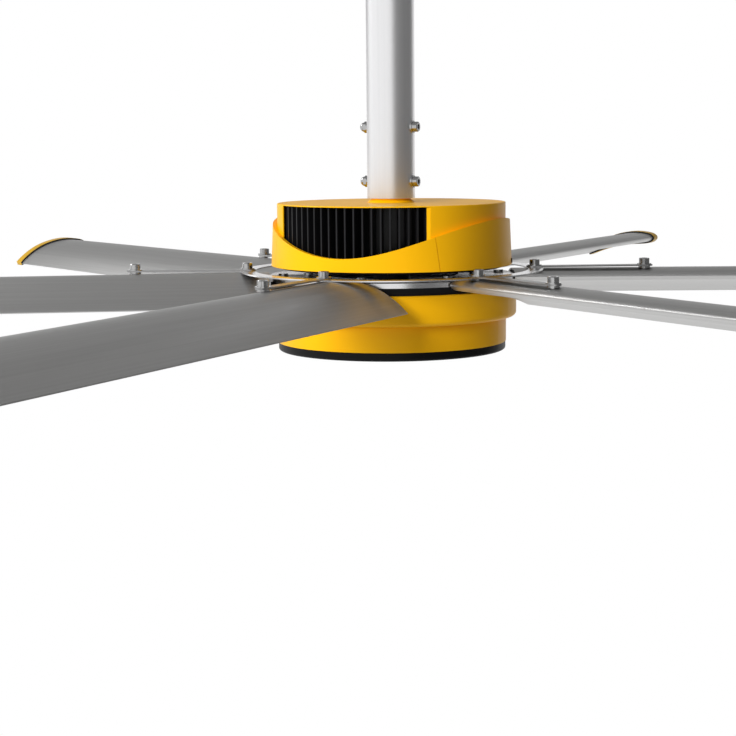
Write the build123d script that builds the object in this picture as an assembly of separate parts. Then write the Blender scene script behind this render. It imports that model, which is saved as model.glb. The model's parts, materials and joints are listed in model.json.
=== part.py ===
from build123d import *
import math
import os

os.makedirs("parts", exist_ok=True)

# Industrial ceiling fan with six blades, hung from a ceiling plate by a downrod.
# Millimetres. Every piece is drawn in the hub frame, where Z is up along the axis
# and Z = 0 is the level of the blade bolts. Saving moves it down by DROP, so that
# the origin of the part is the centre of the ceiling plate's top face.
DROP = 760.0

# Ceiling bracket and downrod
PLATE_SIDE = 220.0
PLATE_THICK = 10.0
PLATE_CORNER = 18.0
ANCHOR_SPACING = 160.0
ANCHOR_HOLE_R = 7.0
TUBE_R = 40.0
TUBE_WALL = 6.5
TUBE_Z = (122.5, 735.0)
SPIGOT_R = 33.0
SPIGOT_BORE_R = 22.0
CROSS_BOLT_R = 6.0
CROSS_HOLE_R = 6.3
CROSS_SEAT_X = TUBE_R + 1.7
LOWER_CROSS_Z = (150.0, 240.0)
UPPER_CROSS_Z = (620.0, 710.0)

# Fixed upper housing
COVER_R = 191.0
COVER_WALL = 5.0
COVER_TOP_Z = 115.5
COVER_BOTTOM_Z = 14.0
COVER_TOP_THICK = 2.0
WINDOW_HALF = 43.6
WINDOW_LIP = 2.0
JAMB_DEPTH = 21.0
JAMB_DEGREES = 2.0
WINDOW_SILL_Z = 26.0
SKIRT_BOTTOM_Z = 12.0
SKIRT_TOP_R = 197.6
SKIRT_BOTTOM_R = 201.6
SKIRT_SEAM = 46.5
SEAM_SLANT = 7.6
SEAM_GAP = 0.7
SCREW_ANGLE = 16.0
SCREW_Z = 18.5
WAVE_LOW_Z = 33.0
WAVE_RISE = 74.0
WAVE_FALL = 16.0
FIN_COUNT = 20
FIN_PITCH = 4.5
FIN_START = -43.35
FIN_THICK = 2.6
FIN_TIP_R = 187.5
SINK_R = 150.0
SINK_WALL = 6.0
SINK_Z = (14.0, 113.0)
SINK_FLOOR = 10.0
BOARD_Z = 70.0
BASE_R = 186.0
BASE_Z = (8.0, 14.0)

# Motor
SHAFT_R = 30.0
SHAFT_BORE_R = 15.0
FLANGE_R = 62.0
BEARING_R = 50.0
BEARING_WIDTH = 20.0
RUNNING_GAP = 0.05
UPPER_BEARING_Z = -40.0
LOWER_BEARING_Z = -113.0
STATOR_R = 172.0
STATOR_Z = (-92.0, -52.0)
SLOT_COUNT = 18
MAGNET_COUNT = 20
MAGNET_R = (173.2, 182.0)

# Rotor
REST_ANGLE = 28.4
BLADE_COUNT = 6
HUB_R = 203.5
HUB_RING_Z = (-12.5, -4.5)
HUB_RING_IN = 112.0
HUB_PLATE_Z = (-24.5, -12.5)
HOUSING_R = 209.0
HOUSING_STEP_Z = -74.0
DRUM_R = 192.0
DRUM_BOTTOM_Z = -116.0
DRUM_INNER_R = 182.0
DRUM_FLOOR = 8.0
CAP_R = 191.0
CAP_BOTTOM_Z = -130.0

# Blades. r runs out from the axis, e runs towards the leading edge.
BLADE_ROOT_R = 205.6
BLADE_TIP_R = 1339.0
BLADE_TOP_Z = 1.7
BLADE_WALL = 2.6
BLADE_DROOP = 0.33
WEB_E = -48.0
CAP_LIP = 2.2
TIP_CAP_R = (1329.0, 1348.0)
ARM_E = (-37.0, 7.0)
ARM_R = (118.0, 462.0)
ARM_Z = (-12.5, -5.0)
BOLT_E = -2.0
INNER_BOLT_R = 242.0
OUTER_BOLT_R = 429.0
TIE_RING_R = (229.0, 254.0)
TIE_RING_Z = (1.8, 3.8)
STRUT_WIDTH = 20.0
STRUT_THICK = 2.5
STRUT_R = (228.0, 443.0)
M12_R = 6.0
M12_HOLE_R = 6.4
HEAD_R = 8.8
HEAD_HIGH = 9.0
WASHER_R = 12.0
WASHER_THICK = 1.8
HUB_BOLT_R = (140.0, 182.0)

# Blade section, as (e, z) points from the trailing edge over the top to the nose
# and back along the underside
SECTION = [(-129.2, -47.2), (-108.0, -29.2), (-84.0, -14.6), (-54.0, -3.6), (-15.0, 1.7), (10.0, -0.8),
           (22.0, -5.2), (25.8, -9.8), (22.2, -14.8), (8.0, -19.5), (-15.0, -21.1), (-50.0, -24.9),
           (-88.0, -33.6), (-129.8, -48.9)]


def save(name, shape):
    shape = Pos(0, 0, -DROP) * shape
    export_step(shape, f"parts/{name}.step")
    print(name, round(shape.volume))


def disc(radius, low, high):
    return Pos(0, 0, (low + high) / 2) * Cylinder(radius, high - low)


def ring(inner, outer, low, high):
    return disc(outer, low, high) - disc(inner, low - 1, high + 1)


def revolved(points):
    with BuildPart() as part:
        with BuildSketch(Plane.XZ):
            with BuildLine():
                Polyline(*points, close=True)
            make_face()
        revolve(axis=Axis.Z)
    return part.part


def sector(radius, start, end, low, high):
    reach = radius * 1.5
    middle = math.radians((start + end) / 2)
    corners = [(0, 0)]
    for angle in (math.radians(start), middle, math.radians(end)):
        corners.append((reach * math.cos(angle), reach * math.sin(angle)))
    face = make_face(Polyline(*corners, close=True))
    return Pos(0, 0, low) * extrude(face, high - low) & disc(radius, low, high)


def along_x(radius, start, end, height):
    bar = Cylinder(radius, end - start, rotation=(0, 90, 0))
    return Pos((start + end) / 2, 0, height) * bar


# Hanging parts

def cross_holes(heights):
    return [along_x(CROSS_HOLE_R, -60, 60, z) for z in heights]


def ceiling_bracket():
    outline = RectangleRounded(PLATE_SIDE, PLATE_SIDE, PLATE_CORNER)
    low = DROP - PLATE_THICK
    plate = Pos(0, 0, low) * extrude(outline, PLATE_THICK)
    spigot_low = UPPER_CROSS_Z[0] - 25
    collar = Pos(0, 0, low - 5) * Cone(TUBE_R, TUBE_R + 12, 10)
    body = plate + disc(SPIGOT_R, spigot_low, low) + collar
    body -= disc(SPIGOT_BORE_R, spigot_low - 1, DROP + 1)
    for x in (-ANCHOR_SPACING / 2, ANCHOR_SPACING / 2):
        for y in (-ANCHOR_SPACING / 2, ANCHOR_SPACING / 2):
            body -= Pos(x, y, 0) * disc(ANCHOR_HOLE_R, low - 1, DROP + 1)
    for hole in cross_holes(UPPER_CROSS_Z):
        body -= hole
    return body


def downrod():
    tube = ring(TUBE_R - TUBE_WALL, TUBE_R, *TUBE_Z)
    for hole in cross_holes(LOWER_CROSS_Z + UPPER_CROSS_Z):
        tube -= hole
    return tube


def saddle_washer(side, height):
    disc_x = along_x(10.5, 0, CROSS_SEAT_X, height)
    washer = disc_x - disc(TUBE_R, height - 20, height + 20)
    washer -= along_x(CROSS_HOLE_R, -1, 60, height)
    return Rot(0, 0, 0 if side > 0 else 180) * washer


def cross_bolt(height):
    seat = CROSS_SEAT_X
    shank = along_x(CROSS_BOLT_R, -seat - 11, seat, height)
    head = along_x(8.4, seat, seat + 9, height)
    head = fillet(head.edges().filter_by(GeomType.CIRCLE).sort_by(Axis.X)[-1], 1.5)
    socket = Pos(seat + 8, 0, height) * Rot(0, 90, 0) * extrude(RegularPolygon(4.6, 6), 4, both=True)
    return shank + head - socket


def dome_nut(height):
    seat = -CROSS_SEAT_X
    hexagon = Pos(seat, 0, height) * Rot(0, -90, 0) * extrude(RegularPolygon(9.6, 6), 6)
    dome = Pos(seat - 6, 0, height) * Sphere(8.0)
    dome &= along_x(9, seat - 20, seat, height)
    return hexagon + dome - along_x(CROSS_BOLT_R, seat - 11, 0, height)


# Fixed housing

def spigot():
    low = SINK_Z[0] + SINK_FLOOR + 12
    body = disc(SPIGOT_R, low, LOWER_CROSS_Z[1] + 25) + disc(FLANGE_R, low, low + 12)
    body -= disc(SPIGOT_BORE_R, low - 1, 400)
    for hole in cross_holes(LOWER_CROSS_Z):
        body -= hole
    for place in PolarLocations(46, 6):
        body -= place * disc(5.3, low - 1, low + 20)
    return body


def neck_collar():
    cone = Pos(0, 0, COVER_TOP_Z + 2.2) * Cone(40.0, 34.6, 4.4)
    return cone - disc(SPIGOT_R + 0.1, COVER_TOP_Z - 5, COVER_TOP_Z + 10)


def spigot_bolts():
    top = SINK_Z[0] + SINK_FLOOR + 24
    bolt = disc(8, top, top + 8) + disc(5, SINK_Z[0] + 2, top)
    return [place * bolt for place in PolarLocations(46, 6)]


def cable_grommet():
    top = LOWER_CROSS_Z[1] + 25
    body = disc(SPIGOT_R - 2, top, top + 3) + disc(SPIGOT_BORE_R, top - 12, top)
    return body - disc(7, top - 20, top + 10)


def motor_shaft():
    flange_z = SINK_Z[0] + SINK_FLOOR
    body = disc(SHAFT_R, LOWER_BEARING_Z - 10, flange_z) + disc(FLANGE_R, flange_z, flange_z + 12)
    body -= disc(SHAFT_BORE_R, LOWER_BEARING_Z - 20, flange_z + 20)
    for place in PolarLocations(46, 6):
        body -= place * disc(5.1, flange_z - 1, flange_z + 20)
    return body


def fin(tip):
    foot = WINDOW_SILL_Z + 1
    inner = SINK_R - 2
    high = SINK_Z[1]
    return Pos((inner + tip) / 2, 0, (foot + high) / 2) * Box(tip - inner, FIN_THICK, high - foot)


def heat_sink():
    low, high = SINK_Z
    floor = low + SINK_FLOOR
    body = ring(SINK_R - SINK_WALL, SINK_R, low, high) + ring(SHAFT_R, SINK_R, low, floor)
    for front in (-90, 90):
        body += Rot(0, 0, front + FIN_START) * fin(COVER_R - COVER_WALL - 0.5)
        for i in range(1, FIN_COUNT):
            body += Rot(0, 0, front + FIN_START + i * FIN_PITCH) * fin(FIN_TIP_R)
    for place in PolarLocations(46, 6):
        body -= place * disc(5.1, low + 2, floor + 1)
    for place in PolarLocations(120, 4, start_angle=45):
        body += place * disc(5, floor - 1, BOARD_Z)
    return body


def drive_board():
    board = ring(72, 138, BOARD_Z, BOARD_Z + 2)
    for angle in (-20, 0, 20):
        board += Rot(0, 0, angle) * Pos(104, 0, 0) * disc(13, BOARD_Z + 1, BOARD_Z + 32)
    board += Rot(0, 0, 180) * Pos(105, 0, BOARD_Z + 8) * Box(34, 70, 14)
    board += Rot(0, 0, 90) * Pos(105, 0, BOARD_Z + 10) * Box(30, 44, 18)
    return board


def top_cover():
    shell = disc(COVER_R, COVER_BOTTOM_Z, COVER_TOP_Z)
    shell = fillet(shell.edges().sort_by(Axis.Z)[-1], 1.5)
    shell -= disc(COVER_R - COVER_WALL, COVER_BOTTOM_Z - 1, COVER_TOP_Z - COVER_TOP_THICK)
    shell -= disc(SPIGOT_R + 0.2, 0, 200)
    for front in (-90, 90):
        low, high = WINDOW_SILL_Z, COVER_TOP_Z - COVER_TOP_THICK
        half = WINDOW_HALF
        shell -= sector(COVER_R + 5, front - half, front + half, low, high)
        start = front + half
        jamb = sector(COVER_R - 1, start, start + JAMB_DEGREES, COVER_BOTTOM_Z, high)
        shell += jamb - disc(COVER_R - JAMB_DEPTH, 0, 200)
        lip = COVER_R - WINDOW_LIP
        shell -= sector(lip, front - half - 3, front - half + 1, low, high)
    return shell


def skirt_body():
    points = [(COVER_R, SKIRT_BOTTOM_Z), (SKIRT_BOTTOM_R, SKIRT_BOTTOM_Z)]
    points += [(SKIRT_TOP_R, 100), (COVER_R, 100)]
    body = revolved(points)
    curve = []
    for i in range(-6, 7):
        x = i / 6 * SKIRT_TOP_R
        share = (x / SKIRT_TOP_R) ** 2
        curve.append((x, WAVE_LOW_Z + WAVE_RISE * share - WAVE_FALL * share ** 2))
    side = SKIRT_TOP_R
    end_x = side + 12
    end_z = curve[-1][1] + 4.0
    wave = Spline(*curve)
    edges = [wave, Line((side, curve[-1][1]), (end_x, end_z)), Line((end_x, end_z), (end_x, 0)),
             Line((end_x, 0), (-end_x, 0)), Line((-end_x, 0), (-end_x, end_z)),
             Line((-end_x, end_z), (-side, curve[0][1]))]
    face = Plane.XZ * make_face(edges)
    return body & extrude(face, 300, both=True)


def skirt_seams():
    """Four slots between the panels, each leaning towards its window at the top."""
    slots = []
    radius = SKIRT_BOTTOM_R
    for front in (-90, 90):
        for side in (-1, 1):
            slot = Pos(radius, 0, SKIRT_BOTTOM_Z) * Rot(side * SEAM_SLANT, 0, 0) * Box(40, SEAM_GAP, 300)
            slots.append(Rot(0, 0, front + side * (SKIRT_SEAM + 0.8)) * slot)
    return slots


def skirt_panels():
    """Front, right, rear and left panel, by where each one's middle lies."""
    body = skirt_body()
    for slot in skirt_seams():
        body -= slot
    for screw in skirt_screws(0.2):
        body -= screw
    solids = body.solids()
    rear = solids.sort_by(Axis.Y)
    sides = solids.sort_by(Axis.X)
    return {"front": rear[0], "right": sides[-1], "rear": rear[-1], "left": sides[0]}


def skirt_screws(clearance=0.0):
    screws = []
    for side in (0, 180):
        start = COVER_R - clearance
        shank = along_x(2.0 + clearance, start, SKIRT_BOTTOM_R - 2, SCREW_Z)
        head = along_x(4.0 + clearance, SKIRT_BOTTOM_R - 4, SKIRT_BOTTOM_R + 1.5 + clearance, SCREW_Z)
        screws.append(Rot(0, 0, side + SCREW_ANGLE) * (shank + head))
    return screws


def base_plate():
    return ring(SHAFT_R, BASE_R, *BASE_Z)


# Motor

def bearing(low):
    profile = ring(SHAFT_R, BEARING_R, low, low + BEARING_WIDTH)
    for z in (low, low + BEARING_WIDTH):
        profile -= ring(SHAFT_R + 7, BEARING_R - 7, z - 1.5, z + 1.5)
    return profile


def stator_core():
    low, high = STATOR_Z
    core = ring(96, 126, low, high)
    tooth = Pos(144, 0, (low + high) / 2) * Box(44, 12, high - low)
    shoe = sector(STATOR_R, -8.2, 8.2, low, high) - disc(STATOR_R - 6, low - 1, high + 1)
    for place in PolarLocations(0, SLOT_COUNT):
        core += place * (tooth + shoe)
    return core


def stator_windings():
    low, high = STATOR_Z
    coil = Pos(145, 0, (low + high) / 2) * Box(34, 24, high - low + 12)
    coil -= Pos(145, 0, (low + high) / 2) * Box(50, 12.4, high - low + 0.4)
    return [place * coil for place in PolarLocations(0, SLOT_COUNT)]


def stator_carrier():
    low, high = STATOR_Z
    middle = (low + high) / 2
    body = ring(SHAFT_R, 96, middle - 8, middle + 8) + ring(SHAFT_R, 44, low, high)
    for place in PolarLocations(70, 6):
        body -= place * disc(11, low, high)
    return body


def shaft_locknut():
    low = LOWER_BEARING_Z - 10
    return ring(SHAFT_R, 42, low, LOWER_BEARING_Z)


def magnets():
    low, high = STATOR_Z
    pole = 180 / MAGNET_COUNT - 1.0
    block = sector(MAGNET_R[1], -pole, pole, low, high) - disc(MAGNET_R[0], low - 1, high + 1)
    return [place * block for place in PolarLocations(0, MAGNET_COUNT)]


# Rotor

def shaft_seal():
    top = HUB_PLATE_Z[1]
    return ring(SHAFT_R + RUNNING_GAP, 42, top - 7, top)


def hub_plate():
    low, high = HUB_PLATE_Z
    boss_low = UPPER_BEARING_Z
    body = ring(42, HUB_R, low, high) + ring(BEARING_R + RUNNING_GAP, 62, boss_low, low)
    body -= ring(42, BEARING_R + RUNNING_GAP, boss_low - 1, UPPER_BEARING_Z + BEARING_WIDTH + 0.4)
    body -= disc(42, low - 1, high + 1)
    for place in rotor_places(blade_points(HUB_BOLT_R)):
        body -= place * disc(5.1, low - 1, high + 1)
    return body


def outer_rims(body):
    return body.edges().filter_by(GeomType.CIRCLE).filter_by(lambda e: abs(e.radius - HOUSING_R) < 0.1)


def rotor_housing():
    low = DRUM_BOTTOM_Z
    top = HUB_PLATE_Z[0]
    hub = BEARING_R + RUNNING_GAP
    hub_top = LOWER_BEARING_Z + BEARING_WIDTH - 2
    points = [(hub, low), (DRUM_R, low), (DRUM_R, HOUSING_STEP_Z), (HOUSING_R, HOUSING_STEP_Z)]
    points += [(HOUSING_R, top), (DRUM_INNER_R, top), (DRUM_INNER_R, low + DRUM_FLOOR)]
    points += [(64, low + DRUM_FLOOR), (64, hub_top), (hub, hub_top)]
    body = revolved(points)
    body = fillet(outer_rims(body).sort_by(Axis.Z)[0], 8)
    return fillet(outer_rims(body).sort_by(Axis.Z)[-1], 1.5)


def bottom_cap():
    body = disc(CAP_R, CAP_BOTTOM_Z, DRUM_BOTTOM_Z)
    body = fillet(body.edges().sort_by(Axis.Z)[0], 4)
    body -= disc(CAP_R - 8, CAP_BOTTOM_Z + 4, DRUM_BOTTOM_Z + 1)
    for place in PolarLocations(150, 6):
        body += place * disc(9, CAP_BOTTOM_Z + 2, DRUM_BOTTOM_Z)
        body -= place * disc(3.0, CAP_BOTTOM_Z - 1, DRUM_BOTTOM_Z + 1)
    return body


def bottom_cap_screws():
    screw = disc(5.5, CAP_BOTTOM_Z - 3, CAP_BOTTOM_Z) + disc(2.9, CAP_BOTTOM_Z, DRUM_BOTTOM_Z)
    return [place * screw for place in PolarLocations(150, 6)]


def blade_turn(index):
    return Rot(0, 0, REST_ANGLE + index * 360 / BLADE_COUNT)


def blade_points(radii, e=None):
    centre = (ARM_E[0] + ARM_E[1]) / 2 if e is None else e
    return [Pos(r, -centre, 0) for r in radii]


def rotor_places(points):
    return [blade_turn(i) * point for i in range(BLADE_COUNT) for point in points]


def hub_ring():
    low, high = HUB_RING_Z
    body = ring(HUB_RING_IN, HUB_R, low, high)
    slot = Pos((ARM_R[0] + 210) / 2, -(ARM_E[0] + ARM_E[1]) / 2, (low + high) / 2)
    slot = slot * Box(210 - ARM_R[0], ARM_E[1] - ARM_E[0], 20)
    for i in range(BLADE_COUNT):
        body -= blade_turn(i) * slot
    return body


def blade_arm():
    low, high = ARM_Z
    middle = (ARM_E[0] + ARM_E[1]) / 2
    length = ARM_R[1] - ARM_R[0]
    bar = Pos(ARM_R[0] + length / 2, -middle, (low + high) / 2)
    bar = bar * Box(length, ARM_E[1] - ARM_E[0], high - low)
    for r in (INNER_BOLT_R, OUTER_BOLT_R):
        bar += Pos(r, -BOLT_E, 0) * disc(8.6, low + 1, blade_top(r) - BLADE_WALL - 2.4)
        bar -= Pos(r, -BOLT_E, 0) * disc(M12_HOLE_R, low - 1, 5)
    for r in HUB_BOLT_R:
        bar -= Pos(r, -middle, 0) * disc(5.1, low - 1, high + 1)
    return bar


def hub_bolts():
    top = ARM_Z[1]
    bolt = disc(8, top, top + 4.5) + disc(5, HUB_PLATE_Z[0], top)
    return [place * bolt for place in rotor_places(blade_points(HUB_BOLT_R))]


def shifted(points, amount):
    result = []
    for i, (e, z) in enumerate(points):
        before = points[max(i - 1, 0)]
        after = points[min(i + 1, len(points) - 1)]
        run = (after[0] - before[0], after[1] - before[1])
        size = math.hypot(*run)
        result.append((e - run[1] / size * amount, z + run[0] / size * amount))
    return result


def blade_top(r):
    return BLADE_TOP_Z - (r - TIE_RING_R[0]) * math.tan(math.radians(BLADE_DROOP))


def section_face(points, r):
    face = Face(Wire([Spline(*points), Line(points[-1], points[0])]))
    plane = Plane(origin=(r, 0, 0), x_dir=(0, -1, 0), z_dir=(-1, 0, 0))
    return plane * face


def section_solid(points, start, end):
    return extrude(section_face(points, start), end - start, dir=(1, 0, 0))


def drooped(shape):
    pivot = (TIE_RING_R[0], 0, BLADE_TOP_Z)
    return Pos(*pivot) * Rot(0, BLADE_DROOP, 0) * Pos(-pivot[0], 0, -pivot[2]) * shape


def blade():
    body = section_solid(SECTION, BLADE_ROOT_R, BLADE_TIP_R)
    inner = shifted(SECTION[1:-1], -BLADE_WALL)
    hollow = section_solid(inner, BLADE_ROOT_R - 5, BLADE_TIP_R + 5)
    middle = (BLADE_ROOT_R + BLADE_TIP_R) / 2
    hollow -= Pos(middle, -WEB_E, -15) * Box(1300, BLADE_WALL, 60)
    body -= hollow
    body = drooped(body)
    for r in (INNER_BOLT_R, OUTER_BOLT_R):
        body -= Pos(r, -BOLT_E, 0) * disc(M12_HOLE_R, -8, 10)
    return body


def tip_cap():
    start, end = TIP_CAP_R
    outer = section_solid(shifted(SECTION, CAP_LIP), start, end)
    inner = section_solid(SECTION, start - 1, BLADE_TIP_R)
    return drooped(outer - inner)


def blade_strut():
    low = TIE_RING_Z[1]
    middle = (STRUT_R[0] + STRUT_R[1]) / 2
    length = STRUT_R[1] - STRUT_R[0]
    outline = SlotOverall(length, STRUT_WIDTH)
    body = Pos(middle, -BOLT_E, low) * extrude(outline, STRUT_THICK)
    for r in (INNER_BOLT_R, OUTER_BOLT_R):
        body -= Pos(r, -BOLT_E, 0) * disc(M12_HOLE_R, low - 1, low + 10)
    return body


def tie_ring():
    body = ring(*TIE_RING_R, *TIE_RING_Z)
    for place in rotor_places(blade_points([INNER_BOLT_R], BOLT_E)):
        body -= place * disc(M12_HOLE_R, -5, 10)
    return body


def blade_bolts():
    seat = TIE_RING_Z[1] + STRUT_THICK + WASHER_THICK
    head = disc(HEAD_R, seat, seat + HEAD_HIGH)
    head = chamfer(head.edges().sort_by(Axis.Z)[-1], 1.0)
    head -= Pos(0, 0, seat + HEAD_HIGH - 5) * extrude(RegularPolygon(5.4, 6), 10)
    bolt = head + disc(M12_R, ARM_Z[0], seat)
    return [place * bolt for place in rotor_places(blade_points([INNER_BOLT_R, OUTER_BOLT_R], BOLT_E))]


def blade_washers():
    seat = TIE_RING_Z[1] + STRUT_THICK
    washer = ring(M12_HOLE_R, WASHER_R, seat, seat + WASHER_THICK)
    spacer = ring(M12_HOLE_R, 10, blade_top(OUTER_BOLT_R) + 0.1, TIE_RING_Z[1])
    washers = [place * washer for place in rotor_places(blade_points([INNER_BOLT_R, OUTER_BOLT_R], BOLT_E))]
    return washers + [place * spacer for place in rotor_places(blade_points([OUTER_BOLT_R], BOLT_E))]


def group(pieces):
    return Compound(children=list(pieces))


def build_hanging_parts():
    save("ceiling_bracket", ceiling_bracket())
    save("downrod", downrod())
    heights = LOWER_CROSS_Z + UPPER_CROSS_Z
    save("cross_bolts", group([cross_bolt(z) for z in heights]))
    save("cross_nuts", group([dome_nut(z) for z in heights]))
    save("cross_washers", group([saddle_washer(s, z) for z in heights for s in (-1, 1)]))


def build_fixed_parts():
    save("motor_spigot", spigot())
    save("neck_collar", neck_collar())
    save("spigot_bolts", group(spigot_bolts()))
    save("cable_grommet", cable_grommet())
    save("motor_shaft", motor_shaft())
    save("heat_sink", heat_sink())
    save("drive_board", drive_board())
    save("top_cover", top_cover())
    save("base_plate", base_plate())
    for side, panel in skirt_panels().items():
        save(f"{side}_skirt", panel)
    save("skirt_screws", group(skirt_screws()))
    save("upper_bearing", bearing(UPPER_BEARING_Z))
    save("lower_bearing", bearing(LOWER_BEARING_Z))
    save("stator_core", stator_core())
    save("stator_windings", group(stator_windings()))
    save("stator_carrier", stator_carrier())
    save("shaft_locknut", shaft_locknut())


def build_rotor():
    save("magnets", group(magnets()))
    save("shaft_seal", shaft_seal())
    save("hub_plate", hub_plate())
    save("hub_ring", hub_ring())
    save("hub_bolts", group(hub_bolts()))
    save("rotor_housing", rotor_housing())
    save("bottom_cap", bottom_cap())
    save("bottom_cap_screws", group(bottom_cap_screws()))
    save("tie_ring", tie_ring())
    save("blade_bolts", group(blade_bolts()))
    save("blade_washers", group(blade_washers()))
    pieces = {"blade_arm": blade_arm(), "blade": blade()}
    pieces |= {"tip_cap": tip_cap(), "blade_strut": blade_strut()}
    for name, piece in pieces.items():
        for i in range(BLADE_COUNT):
            save(f"{name}_{i + 1}", blade_turn(i) * piece)


build_hanging_parts()
build_fixed_parts()
build_rotor()
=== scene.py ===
import bmesh
import bpy
import json
import math
from mathutils import Matrix, Vector

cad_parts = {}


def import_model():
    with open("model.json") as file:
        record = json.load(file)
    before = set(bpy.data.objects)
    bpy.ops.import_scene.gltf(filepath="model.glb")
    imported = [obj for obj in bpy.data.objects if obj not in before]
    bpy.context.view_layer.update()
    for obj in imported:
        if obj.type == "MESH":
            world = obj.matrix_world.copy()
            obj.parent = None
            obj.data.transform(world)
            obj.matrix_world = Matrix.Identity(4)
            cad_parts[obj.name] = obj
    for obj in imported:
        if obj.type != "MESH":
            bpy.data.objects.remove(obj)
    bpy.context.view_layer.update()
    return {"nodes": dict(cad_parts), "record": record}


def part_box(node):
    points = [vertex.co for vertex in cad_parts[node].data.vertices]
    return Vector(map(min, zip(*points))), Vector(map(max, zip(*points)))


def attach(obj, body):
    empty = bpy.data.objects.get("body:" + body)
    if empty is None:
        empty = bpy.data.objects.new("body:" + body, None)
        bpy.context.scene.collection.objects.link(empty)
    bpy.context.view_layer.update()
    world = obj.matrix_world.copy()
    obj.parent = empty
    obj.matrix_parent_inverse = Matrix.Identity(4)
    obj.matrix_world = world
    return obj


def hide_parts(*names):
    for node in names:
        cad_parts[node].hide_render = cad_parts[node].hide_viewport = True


# An industrial ceiling fan seen from slightly above its blades, on white.
# Metres, Z up, with the origin at the centre of the ceiling plate's top face.

# Camera: place round the rotor axis, aim and lens
HUB_Z = -0.760
CAMERA_TURN = math.radians(24.8)
CAMERA_DISTANCE = 2.962
CAMERA_HEIGHT = 0.2248
CAMERA_YAW = -0.0139
CAMERA_PITCH = 0.1306
CAMERA_ROLL = -0.0086
LENS_MM = 86.24
SENSOR_MM = 36.0
CLIP_END = 60

# Stage, in metres. Cards and lamps are placed from the hub as the camera sees it: right,
# behind and above. The camera sees the floor, and only light and reflections meet the cards.
FLOOR_Z = -3.3
FLOOR_R = 2.8
FLOOR_STEPS = 96
FLOOR_GREY = (0.86, 0.86, 0.86, 1)
FLOOR_ROUGHNESS = 0.8
FLOOR_GLOW = (0.42, 0.6)
CEILING_GLOW = 0.335
CEILING_CARD_ABOVE = 3.06
CEILING_CARD_PLAN = (
    (-6.0, -3.0), (14.0, -3.0), (14.0, 14.0), (-6.0, 14.0),
    (-6.0, 2.5), (-2.7, 2.3), (-2.7, 1.0), (-6.0, 0.8),
)
BACK_CARD_ENDS = ((-4.1, 3.0), (1.0, 4.6))
BACK_CARD_LEVELS = ((0.2, CEILING_CARD_ABOVE), (1.2, CEILING_CARD_ABOVE))
FLAG_ENDS = ((-1.9, 1.4), (-1.7, 2.7))
FLAG_LEVELS = ((0.1, 2.2), (0.1, 2.2))
SIDE_GLOW = 0.17
SIDE_CARD_R = 3.6
SIDE_CARD_HEIGHT = 4.4
SIDE_CARD_ARC = (-77.0, 40.0)
SIDE_CARD_STEPS = 24
WORLD_FILL = 0.37
KEY_WATTS = 116.0
KEY_SIZE = 1.8
KEY_PLACE = (-1.9, -2.5, 1.1)
RIM_WATTS = 44.0
RIM_SIZE = 1.3
RIM_PLACE = (-3.1, 1.7, 2.3)
WHITE = (1, 1, 1, 1)
BLACK = (0, 0, 0, 1)

# Finishes. Stretches and bump heights are in metres.
PEEL_SCALE = 900
PEEL_DETAIL = 1.0
PEEL_STRENGTH = 0.06
PEEL_HEIGHT = 0.0004
EDGE_ROUNDING = 0.0012
ROUNDING_SAMPLES = 4
DIE_LINE_STRETCH = (1.6, 0.011, 0.011)
DIE_LINE_SCALE = 3.0
DIE_LINE_DETAIL = 4.0
DIE_LINE_STRENGTH = 0.06
DIE_LINE_HEIGHT = 0.0003
DRAW_LINE_STRETCH = (0.017, 0.017, 2.5)
DRAW_LINE_SCALE = 4.0
DRAW_LINE_DETAIL = 3.0
RING_SCALE = 900
GRAIN_DETAIL = 3.0
BLADE_DARK = (0.46, 0.458, 0.452)
BLADE_LIGHT = (0.6, 0.598, 0.592)
BLADE_ROUGHNESS = (0.4, 0.5)

# Places of the two colours and the result on a mix node set to colour
MIX_DARK, MIX_LIGHT, MIX_RESULT = 6, 7, 2

# Blades and their tips
BLADES = 6
BLADE_REST = math.radians(28.4)
CAP_FULLER = 0.0014
CAP_LONGER = 0.006
# Dark seal under each cap: painted shade for the shadow line at the cap's inner edge
SHADE_SEAL_SHOWS = 0.0017
SHADE_SEAL_INSET = 0.0004
SHADE_SEAL_INSIDE = 0.005
WELD = 0.000001

# Slanted edge beside each window's last fin: the corners of its section as (radius, degrees
# from the window's middle), the gap below the cover's top and the height above its foot
WINDOW_MIDDLES = (-90.0, 90.0)
EDGE_OUTER = (0.1908, 43.7)
EDGE_INNER = (0.1888, 42.0)
EDGE_BACK = (0.1882, 42.0)
EDGE_FOOT = (0.1882, 43.7)
EDGE_TOP_GAP = 0.0022
SILL_ABOVE_COVER = 0.012


# Node helpers

def new_material(name, colour, metallic, roughness, **extra):
    material = bpy.data.materials.new(name)
    material.use_nodes = True
    shader = material.node_tree.nodes["Principled BSDF"]
    shader.inputs["Base Color"].default_value = (*colour, 1.0)
    shader.inputs["Metallic"].default_value = metallic
    shader.inputs["Roughness"].default_value = roughness
    for socket, value in extra.items():
        shader.inputs[socket.replace("_", " ")].default_value = value
    return material


def add_node(material, kind, **values):
    node = material.node_tree.nodes.new(kind)
    for name, value in values.items():
        setattr(node, name, value)
    return node


def link(material, start, end):
    material.node_tree.links.new(start, end)


def mapped(material, turn, stretch):
    """Object coordinates along axes turned about Z, each divided by its stretch."""
    place = add_node(material, "ShaderNodeTexCoord")
    mapping = add_node(material, "ShaderNodeMapping", vector_type="TEXTURE")
    mapping.inputs["Rotation"].default_value = (0, 0, turn)
    mapping.inputs["Scale"].default_value = stretch
    link(material, place.outputs["Object"], mapping.inputs["Vector"])
    return mapping.outputs["Vector"]


def noise(material, vector, scale, detail):
    node = add_node(material, "ShaderNodeTexNoise")
    node.inputs["Scale"].default_value = scale
    node.inputs["Detail"].default_value = detail
    link(material, vector, node.inputs["Vector"])
    return node.outputs["Fac"]


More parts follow.
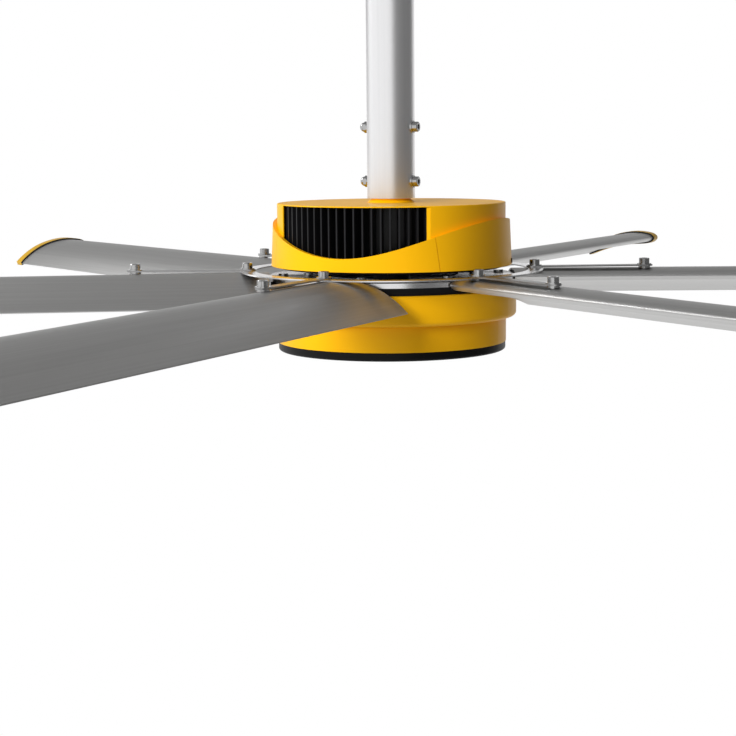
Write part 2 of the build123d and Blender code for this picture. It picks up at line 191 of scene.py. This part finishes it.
def ranged(material, value, low, high):
    node = add_node(material, "ShaderNodeMapRange")
    node.inputs["To Min"].default_value = low
    node.inputs["To Max"].default_value = high
    link(material, value, node.inputs["Value"])
    return node.outputs["Result"]


def tinted(material, value, dark, light):
    """Base colour between two greys or hues, by a value from 0 to 1."""
    node = add_node(material, "ShaderNodeMix", data_type="RGBA")
    link(material, value, node.inputs["Factor"])
    node.inputs[MIX_DARK].default_value = (*dark, 1.0)
    node.inputs[MIX_LIGHT].default_value = (*light, 1.0)
    shader = material.node_tree.nodes["Principled BSDF"]
    link(material, node.outputs[MIX_RESULT], shader.inputs["Base Color"])


def bumped(material, value, strength, distance):
    node = add_node(material, "ShaderNodeBump")
    node.inputs["Strength"].default_value = strength
    node.inputs["Distance"].default_value = distance
    link(material, value, node.inputs["Height"])
    shader = material.node_tree.nodes["Principled BSDF"]
    link(material, node.outputs["Normal"], shader.inputs["Normal"])


def rough_between(material, value, low, high):
    shader = material.node_tree.nodes["Principled BSDF"]
    link(material, ranged(material, value, low, high), shader.inputs["Roughness"])


# Materials

def painted(name, colour, roughness, gloss):
    """Powder coat: a fine orange peel under a soft gloss, and slightly rounded edges."""
    material = new_material(name, colour, 0.0, roughness, Specular_IOR_Level=gloss)
    vector = mapped(material, 0, (1, 1, 1))
    peel = noise(material, vector, PEEL_SCALE, PEEL_DETAIL)
    bumped(material, peel, PEEL_STRENGTH, PEEL_HEIGHT)
    rounding = add_node(material, "ShaderNodeBevel", samples=ROUNDING_SAMPLES)
    rounding.inputs["Radius"].default_value = EDGE_ROUNDING
    bump = material.node_tree.nodes["Bump"]
    link(material, rounding.outputs["Normal"], bump.inputs["Normal"])
    return material


def extruded(name, dark, light, turn, roughness):
    """Anodised extrusion: faint die lines along its length."""
    material = new_material(name, light, 1.0, roughness[0])
    vector = mapped(material, turn, DIE_LINE_STRETCH)
    lines = noise(material, vector, DIE_LINE_SCALE, DIE_LINE_DETAIL)
    tinted(material, lines, dark, light)
    rough_between(material, lines, *roughness)
    bumped(material, lines, DIE_LINE_STRENGTH, DIE_LINE_HEIGHT)
    return material


def drawn(name, dark, light, roughness):
    """Drawn tube: faint lines along Z."""
    material = new_material(name, light, 1.0, roughness[0])
    vector = mapped(material, 0, DRAW_LINE_STRETCH)
    lines = noise(material, vector, DRAW_LINE_SCALE, DRAW_LINE_DETAIL)
    tinted(material, lines, dark, light)
    rough_between(material, lines, *roughness)
    return material


def turned(name, dark, light, roughness):
    """Turned on a lathe about the rotor axis: fine rings."""
    material = new_material(name, light, 1.0, roughness[0])
    place = add_node(material, "ShaderNodeTexCoord")
    flat = add_node(material, "ShaderNodeVectorMath", operation="MULTIPLY")
    flat.inputs[1].default_value = (1, 1, 0)
    radius = add_node(material, "ShaderNodeVectorMath", operation="LENGTH")
    link(material, place.outputs["Object"], flat.inputs[0])
    link(material, flat.outputs["Vector"], radius.inputs[0])
    rings = add_node(material, "ShaderNodeTexNoise", noise_dimensions="1D")
    rings.inputs["Scale"].default_value = RING_SCALE
    link(material, radius.outputs["Value"], rings.inputs["W"])
    tinted(material, rings.outputs["Fac"], dark, light)
    rough_between(material, rings.outputs["Fac"], *roughness)
    return material


def grained(name, dark, light, metallic, roughness, scale, gloss=0.5):
    """A plain finish with a little unevenness."""
    material = new_material(name, light, metallic, roughness[0],
                            Specular_IOR_Level=gloss)
    vector = mapped(material, 0, (1, 1, 1))
    grain = noise(material, vector, scale, GRAIN_DETAIL)
    tinted(material, grain, dark, light)
    rough_between(material, grain, *roughness)
    return material


def grey(value):
    return (value, value, value)


def slot_materials():
    """The finishes by slot. Two, tip_yellow and strut_steel, are not slots of the record."""
    finishes = {
        "yellow_paint": (painted, (0.97, 0.49, 0.002), 0.4, 0.2),
        "tip_yellow": (painted, (0.78, 0.45, 0.01), 0.38, 0.25),
        "black_paint": (painted, (0.008, 0.008, 0.009), 0.5, 0.1),
        "dark_steel": (painted, (0.03, 0.03, 0.032), 0.45, 0.3),
        "satin_tube": (drawn, (0.82, 0.82, 0.83), (0.91, 0.91, 0.92), (0.34, 0.42)),
        "hub_silver": (turned, (0.7, 0.7, 0.71), (0.84, 0.84, 0.85), (0.18, 0.28)),
        "machined_steel": (turned, (0.42, 0.42, 0.43), (0.55, 0.55, 0.56), (0.28, 0.36)),
        "stainless": (grained, grey(0.4), grey(0.52), 1.0, (0.12, 0.22), 120),
        # Struts: a duller steel, with a darker base colour as painted shade
        "strut_steel": (grained, grey(0.34), grey(0.44), 1.0, (0.3, 0.4), 90),
        "black_anodised": (grained, (0.006, 0.006, 0.007), (0.012, 0.012, 0.013), 0.0,
                           (0.3, 0.42), 60, 0.25),
        "black_plastic": (grained, grey(0.003), grey(0.006), 0.0, (0.36, 0.5), 200, 0.12),
        "black_rubber": (grained, grey(0.01), grey(0.02), 0.0, (0.6, 0.75), 150),
        "black_screw": (grained, grey(0.02), grey(0.04), 0.4, (0.3, 0.4), 150),
        "circuit_board": (grained, (0.01, 0.1, 0.03), (0.02, 0.15, 0.05), 0.0, (0.4, 0.5), 80),
        "lamination": (grained, grey(0.12), grey(0.2), 0.9, (0.45, 0.55), 300),
        "copper": (grained, (0.5, 0.18, 0.06), (0.7, 0.28, 0.1), 1.0, (0.3, 0.4), 200),
        "cast_aluminium": (grained, grey(0.4), grey(0.52), 1.0, (0.5, 0.6), 250),
        "magnet": (grained, (0.45, 0.45, 0.46), (0.6, 0.6, 0.61), 1.0, (0.2, 0.3), 100),
    }
    return {slot: finish(slot, *values) for slot, (finish, *values) in finishes.items()}


def blade_angle(index):
    return BLADE_REST + index * 2 * math.pi / BLADES


def paint_nodes(frame, materials):
    """Each CAD node gets its slot's finish, and each blade its own lengthwise lines.

    The struts are darker than the other stainless parts: a duller steel whose darker base
    colour is painted shade. The shaft is dark: painted shade for the gap under the cover.
    """
    for part in frame["record"]["subparts"]:
        name = part["node"]
        slot = part["material_slot"]
        if slot == "blade_aluminium":
            number = int(name.split("_")[1])
            finish = extruded(f"blade_aluminium_{number}", BLADE_DARK, BLADE_LIGHT,
                              blade_angle(number - 1), BLADE_ROUGHNESS)
        # Painted shade: the struts take a darker steel than their slot's finish
        elif name.startswith("blade_strut"):
            finish = materials["strut_steel"]
        # Painted shade: the shaft takes the near-black dark_steel for the shaded gap under the
        # cover
        elif name == "motor_shaft":
            finish = materials["dark_steel"]
        else:
            finish = materials[slot]
        slots = frame["nodes"][name].data.materials
        for i in range(len(slots)):
            slots[i] = finish


# Tip caps

def tip_copy(node, name, finish):
    """A closed copy of a tip cap's mesh, as a new piece on the rotor."""
    shape = bmesh.new()
    shape.from_mesh(node.data)
    bmesh.ops.remove_doubles(shape, verts=shape.verts, dist=WELD)
    mesh = bpy.data.meshes.new(name)
    shape.to_mesh(mesh)
    shape.free()
    mesh.materials.append(finish)
    piece = bpy.data.objects.new(name, mesh)
    bpy.context.collection.objects.link(piece)
    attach(piece, "rotor")
    return piece


def reshaped(piece, along, outward, inner_shift, outer_shift):
    """Moves a cap's outline outward from its section, and its two ends towards the hub."""
    vertices = piece.data.vertices
    depths = [vertex.co.dot(along) for vertex in vertices]
    middle = (min(depths) + max(depths)) / 2
    moves = []
    for vertex, depth in zip(vertices, depths):
        across = vertex.normal - along * vertex.normal.dot(along)
        shift = inner_shift if depth < middle else outer_shift
        moves.append(across.normalized() * outward - along * shift)
    for vertex, move in zip(vertices, moves):
        vertex.co += move


def tip_caps(frame, yellow, rubber):
    """Fuller yellow caps, each with a dark seal that shows as a thin line against the blade.

    The seal is painted shade: it stands in for the shadow line at each cap's inner edge.
    """
    for index in range(BLADES):
        node = frame["nodes"][f"tip_cap_{index + 1}"]
        angle = blade_angle(index)
        along = Vector((math.cos(angle), math.sin(angle), 0))
        cap = tip_copy(node, f"moulded_tip_{index + 1}", yellow)
        reshaped(cap, along, CAP_FULLER, CAP_LONGER, 0.0)
        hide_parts(node.name)
        # Painted shade: a dark rubber strip where the cap's inner edge casts its shadow line
        shade_seal = tip_copy(node, f"tip_seal_{index + 1}", rubber)
        reshaped(shade_seal, along, CAP_FULLER - SHADE_SEAL_INSET, CAP_LONGER + SHADE_SEAL_SHOWS,
                 SHADE_SEAL_INSIDE)


# Window edges

def polar(place, middle, z):
    radius, turn = place
    angle = math.radians(middle + turn)
    return (radius * math.cos(angle), radius * math.sin(angle), z)


def window_edges(frame, paint):
    """The slanted painted edge that closes each window beside its last fin."""
    low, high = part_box("top_cover")
    bottom = low[2] + SILL_ABOVE_COVER
    top = high[2] - EDGE_TOP_GAP
    section = (EDGE_OUTER, EDGE_INNER, EDGE_BACK, EDGE_FOOT)
    count = len(section)
    sides = [(i, (i + 1) % count, (i + 1) % count + count, i + count) for i in range(count)]
    for number, middle in enumerate(WINDOW_MIDDLES):
        corners = [polar(place, middle, z) for z in (bottom, top) for place in section]
        mesh = bpy.data.meshes.new(f"window_edge_{number + 1}")
        mesh.from_pydata(corners, [], [(3, 2, 1, 0), (4, 5, 6, 7)] + sides)
        mesh.materials.append(paint)
        edge = bpy.data.objects.new(mesh.name, mesh)
        bpy.context.collection.objects.link(edge)
        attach(edge, "frame")


# Stage

def camera_side(x, y, z):
    """A place given as right of, behind and above the hub, turned into the object's frame."""
    return Matrix.Rotation(CAMERA_TURN, 4, "Z") @ Vector((x, y, HUB_Z + z))


def mesh_object(name, corners, faces, material):
    mesh = bpy.data.meshes.new(name)
    mesh.from_pydata(corners, [], faces)
    mesh.materials.append(material)
    thing = bpy.data.objects.new(name, mesh)
    bpy.context.collection.objects.link(thing)
    return thing


def seen_directly(material):
    """1 for camera, glossy and transmission rays, 0 for soft light on the object."""
    path = add_node(material, "ShaderNodeLightPath")
    seen = path.outputs["Is Camera Ray"]
    for ray in ("Is Glossy Ray", "Is Transmission Ray"):
        either = add_node(material, "ShaderNodeMath", operation="MAXIMUM")
        link(material, seen, either.inputs[0])
        link(material, path.outputs[ray], either.inputs[1])
        seen = either.outputs["Value"]
    return seen


def floor():
    """Pale floor, brighter with distance, that reads as white below the fan."""
    material = bpy.data.materials.new("floor")
    material.use_nodes = True
    shader = material.node_tree.nodes["Principled BSDF"]
    shader.inputs["Base Color"].default_value = FLOOR_GREY
    shader.inputs["Roughness"].default_value = FLOOR_ROUGHNESS
    shader.inputs["Emission Color"].default_value = WHITE
    place = add_node(material, "ShaderNodeTexCoord")
    radius = add_node(material, "ShaderNodeVectorMath", operation="LENGTH")
    link(material, place.outputs["Object"], radius.inputs[0])
    glow = add_node(material, "ShaderNodeMapRange")
    glow.inputs["From Min"].default_value = -FLOOR_Z
    glow.inputs["From Max"].default_value = math.hypot(FLOOR_R, FLOOR_Z)
    glow.inputs["To Min"].default_value, glow.inputs["To Max"].default_value = FLOOR_GLOW
    link(material, radius.outputs["Value"], glow.inputs["Value"])
    shown = add_node(material, "ShaderNodeMath", operation="MULTIPLY")
    link(material, glow.outputs["Result"], shown.inputs[0])
    link(material, seen_directly(material), shown.inputs[1])
    link(material, shown.outputs["Value"], shader.inputs["Emission Strength"])
    angles = [2 * math.pi * i / FLOOR_STEPS for i in range(FLOOR_STEPS)]
    ring = [(FLOOR_R * math.cos(a), FLOOR_R * math.sin(a), FLOOR_Z) for a in angles]
    mesh_object("floor", ring, [tuple(range(FLOOR_STEPS))], material)


def card(name, corners, faces, glow):
    """A matt card of even brightness that the camera does not see."""
    material = bpy.data.materials.new(name)
    material.use_nodes = True
    shader = material.node_tree.nodes["Principled BSDF"]
    shader.inputs["Base Color"].default_value = BLACK
    shader.inputs["Specular IOR Level"].default_value = 0.0
    shader.inputs["Emission Color"].default_value = WHITE
    shader.inputs["Emission Strength"].default_value = glow
    thing = mesh_object(name, corners, faces, material)
    thing.visible_camera = False


def upright_card(name, ends, levels):
    """A flat card between two ends, each with its own lower and upper level."""
    near, far = ends
    corners = [camera_side(*near, levels[0][0]), camera_side(*far, levels[1][0]),
               camera_side(*far, levels[1][1]), camera_side(*near, levels[0][1])]
    card(name, corners, [(0, 1, 2, 3)], CEILING_GLOW)


def cards():
    """Grey overhead, behind and to the right, and a flag that shades the blades from the rim."""
    plan = [camera_side(x, y, CEILING_CARD_ABOVE) for x, y in CEILING_CARD_PLAN]
    card("ceiling_card", plan, [tuple(range(len(plan)))], CEILING_GLOW)
    upright_card("back_card", BACK_CARD_ENDS, BACK_CARD_LEVELS)
    upright_card("flag", FLAG_ENDS, FLAG_LEVELS)
    start, end = SIDE_CARD_ARC
    corners = []
    faces = []
    for i in range(SIDE_CARD_STEPS + 1):
        angle = math.radians(start + (end - start) * i / SIDE_CARD_STEPS)
        x, y = SIDE_CARD_R * math.cos(angle), SIDE_CARD_R * math.sin(angle)
        for z in (-SIDE_CARD_HEIGHT / 2, SIDE_CARD_HEIGHT / 2):
            corners.append(camera_side(x, y, z))
        if i:
            faces.append((2 * i - 2, 2 * i, 2 * i + 1, 2 * i - 1))
    card("side_card", corners, faces, SIDE_GLOW)


def area_lamp(name, place, target, size, watts):
    data = bpy.data.lights.new(name, "AREA")
    data.shape = "SQUARE"
    data.size = size
    data.energy = watts
    lamp = bpy.data.objects.new(name, data)
    bpy.context.collection.objects.link(lamp)
    lamp.location = place
    lamp.rotation_euler = (target - place).to_track_quat("-Z", "Y").to_euler()
    lamp.visible_camera = False
    return lamp


def world():
    """White to the camera and in reflections, and a soft fill on the object."""
    sky = bpy.data.worlds.new("studio")
    bpy.context.scene.world = sky
    sky.use_nodes = True
    background = sky.node_tree.nodes["Background"]
    background.inputs["Color"].default_value = WHITE
    strength = ranged(sky, seen_directly(sky), WORLD_FILL, 1.0)
    link(sky, strength, background.inputs["Strength"])


def camera():
    data = bpy.data.cameras.new("camera")
    data.lens = LENS_MM
    data.sensor_width = SENSOR_MM
    data.clip_end = CLIP_END
    thing = bpy.data.objects.new("camera", data)
    bpy.context.collection.objects.link(thing)
    place = camera_side(0, -CAMERA_DISTANCE, CAMERA_HEIGHT)
    turn = Matrix.Rotation(CAMERA_TURN - CAMERA_YAW, 4, "Z")
    tilt = Matrix.Rotation(math.pi / 2 - CAMERA_PITCH, 4, "X")
    roll = Matrix.Rotation(CAMERA_ROLL, 4, "Z")
    thing.matrix_world = Matrix.Translation(place) @ turn @ tilt @ roll
    bpy.context.scene.camera = thing


def stage():
    floor()
    cards()
    hub = camera_side(0, 0, 0)
    key = area_lamp("key", camera_side(*KEY_PLACE), hub, KEY_SIZE, KEY_WATTS)
    key.visible_glossy = False
    area_lamp("rim", camera_side(*RIM_PLACE), hub, RIM_SIZE, RIM_WATTS)
    world()
    camera()
    bpy.context.scene.view_settings.view_transform = "Standard"


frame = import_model()
materials = slot_materials()
paint_nodes(frame, materials)
window_edges(frame, materials["yellow_paint"])
tip_caps(frame, materials["tip_yellow"], materials["black_rubber"])
stage()
